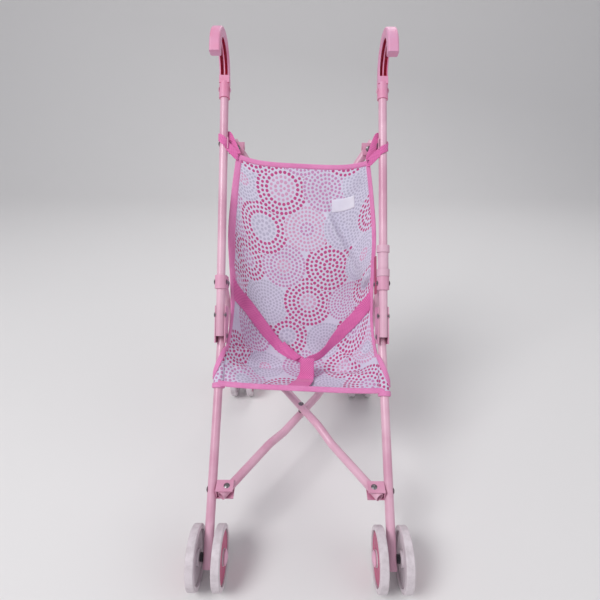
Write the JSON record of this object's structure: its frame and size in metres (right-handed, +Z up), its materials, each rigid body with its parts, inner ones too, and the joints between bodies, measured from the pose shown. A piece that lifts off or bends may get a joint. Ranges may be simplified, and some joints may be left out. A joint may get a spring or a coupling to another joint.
{
  "type": "doll stroller",
  "caption": "Folding doll stroller: two hooked push tubes, leaning legs with paired wheels, crossed braces and a cloth sling seat with a harness.",
  "frame": {"origin": "on the floor, midway between the front and rear axles and between the two side frames", "axes": "+X to the sitting doll's left (viewer's right from the front), -Y to the front, +Z up"},
  "size_m": [0.2346, 0.376, 0.5306],
  "materials": {
    "pink_enamel": "gloss enamel",
    "bracket_pink": "satin enamel",
    "wing_red": "satin enamel",
    "pink_plastic": "moulded, semi gloss",
    "wheel_plastic": "moulded, satin",
    "black_plastic": "matt",
    "rivet_steel": "dull zinc",
    "seat_fabric": "printed plain weave",
    "pink_webbing": "woven webbing"
  },
  "bodies": {
    "right_side": {"axle_caps_right": "pink_plastic", "back_guide_right": "bracket_pink", "brace_rivets_right": "rivet_steel", "collar_right": "bracket_pink", "crotch_strap": "pink_webbing", "frame_rivets_right": "rivet_steel", "front_axle_right": "rivet_steel", "front_leg_right": "pink_enamel", "handle_pin_right": "rivet_steel", "handle_right": "pink_plastic", "harness_strap_left": "pink_webbing", "harness_strap_right": "pink_webbing", "leg_channel_right": "bracket_pink", "lock_wing": "wing_red", "lower_bracket_right": "bracket_pink", "lower_guide_right": "bracket_pink", "push_tube_right": "pink_enamel", "rear_axle_right": "rivet_steel", "rear_leg_right": "pink_enamel", "seat_cloth": "seat_fabric", "top_bracket_right": "bracket_pink", "top_loop_right": "pink_webbing", "wheel_spacers_right": "black_plastic"},
    "left_side": {"axle_caps_left": "pink_plastic", "back_guide_left": "bracket_pink", "brace_rivets_left": "rivet_steel", "collar_left": "bracket_pink", "frame_rivets_left": "rivet_steel", "front_axle_left": "rivet_steel", "front_leg_left": "pink_enamel", "handle_left": "pink_plastic", "handle_pin_left": "rivet_steel", "leg_channel_left": "bracket_pink", "lower_bracket_left": "bracket_pink", "lower_guide_left": "bracket_pink", "push_tube_left": "pink_enamel", "rear_axle_left": "rivet_steel", "rear_leg_left": "pink_enamel", "top_bracket_left": "bracket_pink", "top_loop_left": "pink_webbing", "wheel_spacers_left": "black_plastic"},
    "back_brace_left": {"back_brace_left": "pink_enamel", "back_pin_left": "rivet_steel"},
    "back_brace_right": {"back_brace_right": "pink_enamel", "back_pin_right": "rivet_steel"},
    "front_wheel_left_inner": {"front_wheel_left_inner": "wheel_plastic"},
    "front_wheel_left_outer": {"front_wheel_left_outer": "wheel_plastic"},
    "front_wheel_right_inner": {"front_wheel_right_inner": "wheel_plastic"},
    "front_wheel_right_outer": {"front_wheel_right_outer": "wheel_plastic"},
    "lock": {"lock_spool": "pink_plastic"},
    "lower_brace_left": {"lower_brace_left": "pink_enamel", "lower_pin_left": "rivet_steel"},
    "lower_brace_right": {"lower_brace_right": "pink_enamel", "lower_pin_right": "rivet_steel"},
    "rear_wheel_left_inner": {"rear_wheel_left_inner": "wheel_plastic"},
    "rear_wheel_left_outer": {"rear_wheel_left_outer": "wheel_plastic"},
    "rear_wheel_right_inner": {"rear_wheel_right_inner": "wheel_plastic"},
    "rear_wheel_right_outer": {"rear_wheel_right_outer": "wheel_plastic"}
  },
  "joints": [
    {"name": "fold", "type": "slide", "parent": "right_side", "child": "left_side", "axis": [1, 0, 0], "range_m": [0, 0.1], "deforming": ["seat_cloth", "harness_strap_right", "harness_strap_left", "crotch_strap"]},
    {"name": "lower_brace_right_swing", "type": "hinge", "parent": "right_side", "child": "lower_brace_right", "pos_m": [0.08, -0.10974, 0.07908], "axis": [0, 0.103, -0.9947], "range_deg": [0, 22.3]},
    {"name": "lower_brace_left_swing", "type": "hinge", "parent": "left_side", "child": "lower_brace_left", "pos_m": [-0.08, -0.10974, 0.07908], "axis": [0, -0.103, 0.9947], "range_deg": [0, 22.3]},
    {"name": "back_brace_right_swing", "type": "hinge", "parent": "right_side", "child": "back_brace_right", "pos_m": [0.08, 0.12928, 0.40042], "axis": [0, -0.9901, 0.1406], "range_deg": [0, 21.26]},
    {"name": "back_brace_left_swing", "type": "hinge", "parent": "left_side", "child": "back_brace_left", "pos_m": [-0.08, 0.12928, 0.40042], "axis": [0, 0.9901, -0.1406], "range_deg": [0, 21.26]},
    {"name": "lock_slide", "type": "slide", "parent": "right_side", "child": "lock", "axis": [0, 0.5135, 0.8581], "range_m": [0, 0.09]},
    {"name": "front_right_outer_roll", "type": "hinge", "parent": "right_side", "child": "front_wheel_right_outer", "pos_m": [0.1093, -0.156, 0.032], "axis": [-1, 0, 0], "continuous": true},
    {"name": "front_right_inner_roll", "type": "hinge", "parent": "right_side", "child": "front_wheel_right_inner", "pos_m": [0.0837, -0.156, 0.032], "axis": [-1, 0, 0], "continuous": true},
    {"name": "rear_right_outer_roll", "type": "hinge", "parent": "right_side", "child": "rear_wheel_right_outer", "pos_m": [0.1093, 0.156, 0.032], "axis": [-1, 0, 0], "continuous": true},
    {"name": "rear_right_inner_roll", "type": "hinge", "parent": "right_side", "child": "rear_wheel_right_inner", "pos_m": [0.0837, 0.156, 0.032], "axis": [-1, 0, 0], "continuous": true},
    {"name": "front_left_outer_roll", "type": "hinge", "parent": "left_side", "child": "front_wheel_left_outer", "pos_m": [-0.1093, -0.156, 0.032], "axis": [-1, 0, 0], "continuous": true},
    {"name": "front_left_inner_roll", "type": "hinge", "parent": "left_side", "child": "front_wheel_left_inner", "pos_m": [-0.0837, -0.156, 0.032], "axis": [-1, 0, 0], "continuous": true},
    {"name": "rear_left_outer_roll", "type": "hinge", "parent": "left_side", "child": "rear_wheel_left_outer", "pos_m": [-0.1093, 0.156, 0.032], "axis": [-1, 0, 0], "continuous": true},
    {"name": "rear_left_inner_roll", "type": "hinge", "parent": "left_side", "child": "rear_wheel_left_inner", "pos_m": [-0.0837, 0.156, 0.032], "axis": [-1, 0, 0], "continuous": true}
  ],
  "couplings": [
    {"joint": "lower_brace_right_swing", "follows": "fold", "rad_per_m": 3.8898},
    {"joint": "lower_brace_left_swing", "follows": "fold", "rad_per_m": 3.8898},
    {"joint": "back_brace_right_swing", "follows": "fold", "rad_per_m": 3.7092},
    {"joint": "back_brace_left_swing", "follows": "fold", "rad_per_m": 3.7092}
  ]
}
